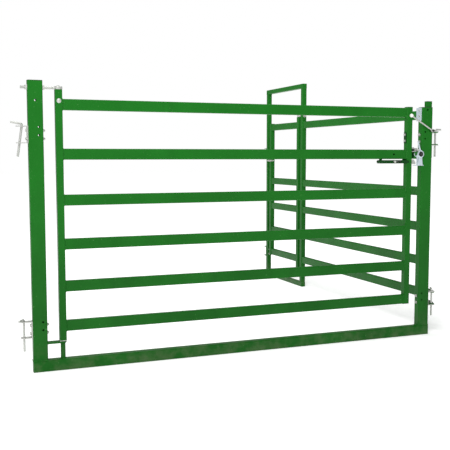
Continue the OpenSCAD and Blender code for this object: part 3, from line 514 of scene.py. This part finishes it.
gate_beads, panel_beads, walk_beads = [], [], []
for k, z in enumerate(RAIL_Z + RAIL_H / 2):
    for s, x in zip((1, -1), GATE_X):
        gate_beads.append(rail_bead((0, 1, 0), (x + s * BEAD_OUT, 0, z), k))
    for s, y in zip((1, -1), PANEL_Y):
        panel_beads.append(rail_bead((-1, 0, 0), (PANEL_X, y + s * BEAD_OUT, z), 20 + k))
    for s, y in zip((1, -1), WALK_Y):
        walk_beads.append(rail_bead((-1, 0, 0), (PANEL_X, y + s * BEAD_OUT, z), 40 + k))
shown("gate_rail_welds", gate_beads, HIGHLIT_WELD_GREEN, "gate")
shown("walk_gate_rail_welds", walk_beads, HIGHLIT_WELD_GREEN, "walk_gate")

foot_beads = [
    weld(POST_W, POST_D, POST_R, flat(across(50), 0, SILL_H + BEAD_OUT), 0.0032, 61),
    weld(POST_W, POST_D, POST_R, flat(across(3200), 0, SILL_H + BEAD_OUT), 0.0032, 62),
    weld(0.034, 0.034, 0.0169, flat(AXIS_X, 0, SILL_H + BEAD_OUT), 0.003, 63),
    weld(0.050, 0.012, 0.003, frame_of((0, 1, 0), (0, 0, 1), (across(100), 0, 0.198)), 0.003, 64),
    weld(0.034, 0.034, 0.0169, flat(AXIS_X, 0, 0.192), 0.0026, 65),
]
shown("gateway_welds", foot_beads, HIGHLIT_WELD_GREEN, "gate_frame")
for k, (y, z) in enumerate(((TALL_NEAR, 0.050), (TALL_FAR, 0.050), (TALL_NEAR, 2.257), (TALL_FAR, 2.257))):
    panel_beads.append(weld(BOX_W, BOX_W, 0.005, flat(PANEL_X, y, z), 0.003, 70 + k))
shown("panel_welds", panel_beads, HIGHLIT_WELD_GREEN, "side_panel")

# ---------------------------------------------------------------- bolts, nuts and hinge bolts


def bolt_parts(origin, outward, dia, grip, tail=0.004):
    """A hexagon bolt seen whole.

    The domed head and its washer sit at origin, and the threaded end carries a washer and nut past the grip.
    """
    at_head = pointing(outward, origin)
    washer, nut_h, af = 0.002, 0.8 * dia, 1.6 * dia
    end = -(grip + washer + nut_h + tail)
    parts = [
        ring(dia / 2, dia, 0, washer, 0.0004, 36),
        moved(hexagon(af, 0.65 * dia, dome=0.0012), np.diag([1, 1, 1, 1]) + shift(washer)),
        ring(dia / 2, dia, -grip - washer, -grip, 0.0004, 36),
        thread(dia / 2, end, washer, 0.00175, 0.0009, plain=max(grip - 0.02, 0.004), sides=24),
        moved(hexagon(af, nut_h, bore=dia / 2), np.diag([1, -1, -1, 1]) + shift(-grip - washer)),
    ]
    return [moved(p, at_head) for p in parts]


def shift(z):
    """The part of a 4x4 that moves by z along local Z."""
    m = np.zeros((4, 4))
    m[2, 3] = z
    return m


CONN_Y, CONN_STEP = 0.005, 0.028
CONN_HIGH, CONN_LOW, FAR_HIGH, FAR_LOW = 1.640, 0.300, 1.535, 0.300
CONN_BOLT, LATCH_BOLT = 0.012, 0.010
frame_bolts, far_bolts, latch_bolts = [], [], []
for z in (CONN_HIGH, CONN_LOW):
    for s in (-1, 1):
        frame_bolts += bolt_parts((across(-6), CONN_Y, z + s * CONN_STEP), (-1, 0, 0), CONN_BOLT, 0.106)
        frame_bolts += bolt_parts((across(3256), CONN_Y, z + s * CONN_STEP), (1, 0, 0), CONN_BOLT, 0.106)
for z in (FAR_HIGH, FAR_LOW):
    for s in (-1, 1):
        far_bolts += bolt_parts((PANEL_X, 3.466 + 0.006, z + s * CONN_STEP), (0, 1, 0), CONN_BOLT, 0.056)
for z in (1.822, 1.867):
    latch_bolts += bolt_parts((across(3145), CONN_Y, z), (-1, 0, 0), LATCH_BOLT, 0.009)
for z in (1.507, 1.565):
    latch_bolts += bolt_parts((across(3256), CONN_Y, z), (1, 0, 0), LATCH_BOLT, 0.010)
shown("connector_bolts_made", frame_bolts, ZINC, "gate_frame", ["connector_bolts"])
shown("far_connector_bolts_made", far_bolts, ZINC, "side_panel", ["far_connector_bolts"])
shown("latch_bolts_made", latch_bolts, ZINC, "gate_frame", ["latch_bolts"])


def eye_bolt_parts(centre, away, shank_end, threaded):
    """A forged eye with a threaded shank.

    The eye is a ring of rounded section about Z at centre. The shank runs from inside the ring's rim to
    shank_end along away, and swells into the ring over its last 16 mm by a raised cosine.
    """
    centre, away = np.array(centre, float), np.array(away, float)
    r_shank, r_eye = 0.010, 0.0285
    start = r_eye - 0.006
    eye = moved(ring(0.0096, r_eye, -0.011, 0.011, 0.004, 64), flat(*centre))
    plain = shank_end - start - 0.012 - threaded
    rod = moved(thread(r_shank, -shank_end, -start - 0.012, 0.0025, 0.0013, plain), pointing(-away, centre))
    s = np.linspace(0, 1, 14)
    neck_r = r_shank + 0.0009 * (1 - np.cos(math.pi * s)) / 2
    neck = along(centre + away * (start + 0.013 - 0.015 * s)[:, None], neck_r, 32)
    return [eye, rod, neck]


EYE_Z, WALK_EYE_Z = 1.9575, 1.951
shown(
    "hinge_eye_bolt_made",
    eye_bolt_parts((AXIS_X, 0, EYE_Z), (-1, 0, 0), 0.253, 0.165),
    ZINC, "gate_frame", ["hinge_eye_bolt"],
)


def eye_nut_parts(at, direction):
    """The washer and the thin nut on one side of a post, facing along direction from at."""
    m = pointing(direction, at)
    washer = moved(ring(0.010, 0.019, 0, 0.004, 0.0008), m)
    nut = moved(hexagon(0.030, 0.012, bore=0.010), m @ (np.eye(4) + shift(0.004)))
    return [washer, nut]


shown(
    "hinge_eye_nuts_made",
    eye_nut_parts((across(0), 0, EYE_Z), (-1, 0, 0)) + eye_nut_parts((across(100), 0, EYE_Z), (1, 0, 0)),
    ZINC, "gate_frame", ["hinge_eye_nuts"],
)
shown(
    "walk_eye_bolt_made",
    eye_bolt_parts((PANEL_X, WALK_AXIS, WALK_EYE_Z), (0, -1, 0), 0.153, 0.100)
    + eye_nut_parts((PANEL_X, 2.479, WALK_EYE_Z), (0, -1, 0))
    + eye_nut_parts((PANEL_X, 2.529, WALK_EYE_Z), (0, 1, 0)),
    ZINC, "side_panel", ["walk_eye_bolt"],
)

# ---------------------------------------------------------------- drop pins


SEAT = 0.072
LEAN_SEAT = 0.073


def drop_pin(at, turn, tilt, seat):
    """A round bar bent square, its handle along +X and its leg down -Z.

    It is turned about Z, lifted to its seat above at, then tilted about Y.
    """
    length, grip = 0.224, 0.078
    shape = bent_bar([(grip, 0, 0), (0, 0, 0), (0, 0, -length)], 0.016, 0.008)
    m = Matrix.Translation(at) @ Matrix.Rotation(tilt, 4, "Y")
    m = m @ Matrix.Translation((0, 0, seat)) @ Matrix.Rotation(turn, 4, "Z")
    return [moved(shape, m)]


LEAN = math.radians(8.5)
for name, at, turn, tilt, seat in (
    ("hinge_top", (across(-48), CONN_Y, CONN_HIGH), math.pi, LEAN, LEAN_SEAT),
    ("hinge_foot", (across(-56), CONN_Y, CONN_LOW), math.radians(240), 0.0, SEAT),
    ("latch_top", (across(3303), CONN_Y, CONN_HIGH), math.radians(20), 0.0, SEAT),
    ("latch_foot", (across(3303), CONN_Y, CONN_LOW), math.radians(60), 0.0, SEAT),
):
    pin = drop_pin(at, turn, tilt, seat)
    shown("bent_pin_" + name, pin, ZINC, "pin_" + name, ["drop_pin_" + name])

# ---------------------------------------------------------------- retaining rod

GUARD = np.array([across(3236), -0.053, 1.701])
RISE = math.radians(150)
rod_way = np.array([math.cos(RISE), 0, math.sin(RISE)])
knob_at = GUARD + rod_way * 0.239
a = np.linspace(-math.pi / 2 + 0.02, math.pi / 2 - 0.02, 25)
KNOB_R = 0.01495
knob_profile = np.stack([KNOB_R * np.cos(a), KNOB_R * np.sin(a)], axis=1)
seam = 1 - 0.012 * np.exp(-((a / 0.05) ** 2))
knob = [moved(lathe(knob_profile * seam[:, None], 40), pointing(rod_way, knob_at))]
shown("knob", knob, WHITE, "guard_rod_body", ["guard_rod_knob"])
loop = [
    moved(ring(0.0051, 0.0139, -0.006, 0.006, 0.003, 48), pointing((0, -1, 0), GUARD)),
    bent_bar([GUARD + rod_way * 0.010, GUARD + rod_way * 0.228], 0.01, 0.006, 20),
]
shown("retaining_rod", loop, ZINC, "guard_rod_body", ["guard_rod"])

# ---------------------------------------------------------------- catch lever


def smooth_outline(points, per_span=7):
    """A closed Catmull-Rom curve through the points.

    Each span is the cubic through its ends, with slopes half the chord between its neighbours.
    """
    p = np.array(points, float)
    s = np.linspace(0, 1, per_span, endpoint=False)[:, None]
    out = []
    for k in range(len(p)):
        a, b, c, d = p[k - 1], p[k], p[(k + 1) % len(p)], p[(k + 2) % len(p)]
        square, cube = 2 * a - 5 * b + 4 * c - d, 3 * b - a - 3 * c + d
        out.append(0.5 * (2 * b + (c - a) * s + square * s**2 + cube * s**3))
    return np.vstack(out)


LEVER = np.array([across(3132), -0.0415, 1.510])
lever_line = np.array(
    [
        (31, 0), (26, 17), (13, 27), (3.5, 34), (-3, 42), (-10, 66), (-18, 88), (-20.5, 103), (-24.5, 106), (-28.5, 102),
        (-28, 86), (-24, 66), (-20, 45), (-17, 33), (-24, 20), (-29.5, 9), (-32.6, 2.2), (-34.6, -3.6), (-37.8, -9.9),
        (-46, -13.1), (-54.2, -9.9), (-57.4, -3.6), (-57.6, 4), (-60, 6.8), (-62.8, 4.5), (-63.4, -3), (-61.5, -10),
        (-57, -15.2), (-49, -18.6), (-40, -21.2), (-28, -24), (-16, -27), (0, -31), (18, -25), (28, -13),
    ]
)
outline = smooth_outline(lever_line / 1000)
ahead = np.roll(outline, -1, 0) - np.roll(outline, 1, 0)
inward = np.stack([-ahead[:, 1], ahead[:, 0]], axis=1) / np.linalg.norm(ahead, axis=1)[:, None]
half_t, soft = 0.004, 0.0022
rows = []
# Inset from the outline and height as a share of half the thickness, front face to back face
edge = ((0.004, 1.0), (soft, 1.0), (soft * 0.3, 0.83), (0, 0.45))
for back, level in edge + tuple((b, -h) for b, h in reversed(edge)):
    rows.append((outline + inward * back, level * half_t))
surface = [np.stack([line[:, 0], np.full(len(line), level), line[:, 1]], axis=1) for line, level in rows]
lever_skin = grid(np.stack(surface, axis=1), close_u=True)


def filled(line, level, up):
    """The flat face inside a closed line, as quads from each edge to a spine.

    Every point of the line is joined to the nearest point of a spine, which runs from the claw's tip
    round its throat, through the hub and up the handle.
    """
    spine = np.array(
        [
            (-0.0600, 0.003), (-0.0605, -0.004), (-0.0585, -0.010), (-0.054, -0.0135), (-0.046, -0.0160),
            (-0.038, -0.0155), (-0.032, -0.0100), (-0.026, -0.006), (-0.012, 0.0), (-0.004, 0.0),
            (0.004, -0.004), (0.012, 0.0), (0.004, 0.010), (-0.006, 0.024), (-0.010, 0.036),
            (-0.015, 0.060), (-0.021, 0.086), (-0.024, 0.100),
        ]
    )
    near = np.argmin(np.linalg.norm(line[:, None] - spine[None], axis=2), axis=1)
    inner = spine[near]
    pair = np.stack([np.column_stack([line[:, 0], np.full(len(line), level), line[:, 1]]),
                     np.column_stack([inner[:, 0], np.full(len(line), level), inner[:, 1]])], axis=1)
    return grid(pair, close_u=True, flip=up)


lever_parts = [lever_skin, filled(rows[0][0], half_t, True), filled(rows[-1][0], -half_t, False)]
shown(
    "forged_lever", [(v + LEVER, q) for v, q in lever_parts], BLUE_ZINC, "latch_lever_body", ["latch_lever"]
)

# ---------------------------------------------------------------- stage, light and camera

floor = bpy.data.objects.new("floor", bpy.data.meshes.new("floor"))
span = np.linspace(-40, 40, 3)
fx, fy = np.meshgrid(span, span, indexing="ij")
fv, fq = grid(np.stack([fx, fy + 20, np.full_like(fx, -0.0005)], axis=2))
floor.data.from_pydata(fv.tolist(), [], fq.tolist())
floor_look = Nodes("pale_floor")
patches = floor_look.band(floor_look.noise(0.6, 3.0), 0.3, 0.7, 0.0, 0.2)
floor_tone = floor_look.mix(patches, (0.93, 0.93, 0.93, 1), (0.9, 0.9, 0.9, 1))
away = floor_look.add("ShaderNodeVectorMath", {"operation": "LENGTH"}, i0=floor_look.coords).outputs["Value"]
glow = floor_look.band(away, 2.0, 7.0, 0.35, 0.8)
floor.data.materials.append(
    floor_look.finish(Base_Color=floor_tone, Roughness=0.95, Emission_Color=(1, 1, 1, 1), Emission_Strength=glow)
)
bpy.context.scene.collection.objects.link(floor)

scene = bpy.context.scene
world = bpy.data.worlds.new("studio")
world.use_nodes = True
world.node_tree.nodes["Background"].inputs["Color"].default_value = (1, 1, 1, 1)
# The backdrop is white to the camera, and lights the gate more softly
seen = world.node_tree.nodes.new("ShaderNodeLightPath").outputs["Is Camera Ray"]
level = world.node_tree.nodes.new("ShaderNodeMath")
level.operation = "MULTIPLY_ADD"
world.node_tree.links.new(seen, level.inputs[0])
level.inputs[1].default_value, level.inputs[2].default_value = 0.68, 0.32
world.node_tree.links.new(level.outputs[0], world.node_tree.nodes["Background"].inputs["Strength"])
scene.world = world
scene.view_settings.view_transform = "Standard"


def softbox(name, at, target, size, power):
    """A square area light that faces its target."""
    light = bpy.data.lights.new(name, "AREA")
    light.shape, light.size, light.energy = "SQUARE", size, power
    obj = bpy.data.objects.new(name, light)
    obj.location = at
    obj.rotation_mode = "QUATERNION"
    obj.rotation_quaternion = (Vector(target) - Vector(at)).to_track_quat("-Z", "Y")
    scene.collection.objects.link(obj)


softbox("key", (-3.5, -5.0, 6.0), (0.3, 0.8, 1.0), 4.0, 400)
softbox("top", (0.0, 1.5, 7.0), (0.0, 1.2, 0.5), 5.0, 300)

camera = bpy.data.objects.new("camera", bpy.data.cameras.new("camera"))
yaw, dip, roll = math.radians(21.1679), math.radians(5.0821), math.radians(-0.0301)
fwd = Vector((math.sin(yaw) * math.cos(dip), math.cos(yaw) * math.cos(dip), -math.sin(dip)))
right = Vector((math.cos(yaw), -math.sin(yaw), 0))
above = right.cross(fwd)
r = right * math.cos(roll) + above * math.sin(roll)
u = above * math.cos(roll) - right * math.sin(roll)
turned = Matrix((r, u, -fwd)).transposed().to_4x4()
camera.matrix_world = Matrix.Translation((-2.27661, -5.37283, 1.49165)) @ turned
camera.data.sensor_fit = "HORIZONTAL"
camera.data.sensor_width = 36
camera.data.lens = 61.651
camera.data.clip_end = 200
scene.collection.objects.link(camera)
scene.camera = camera
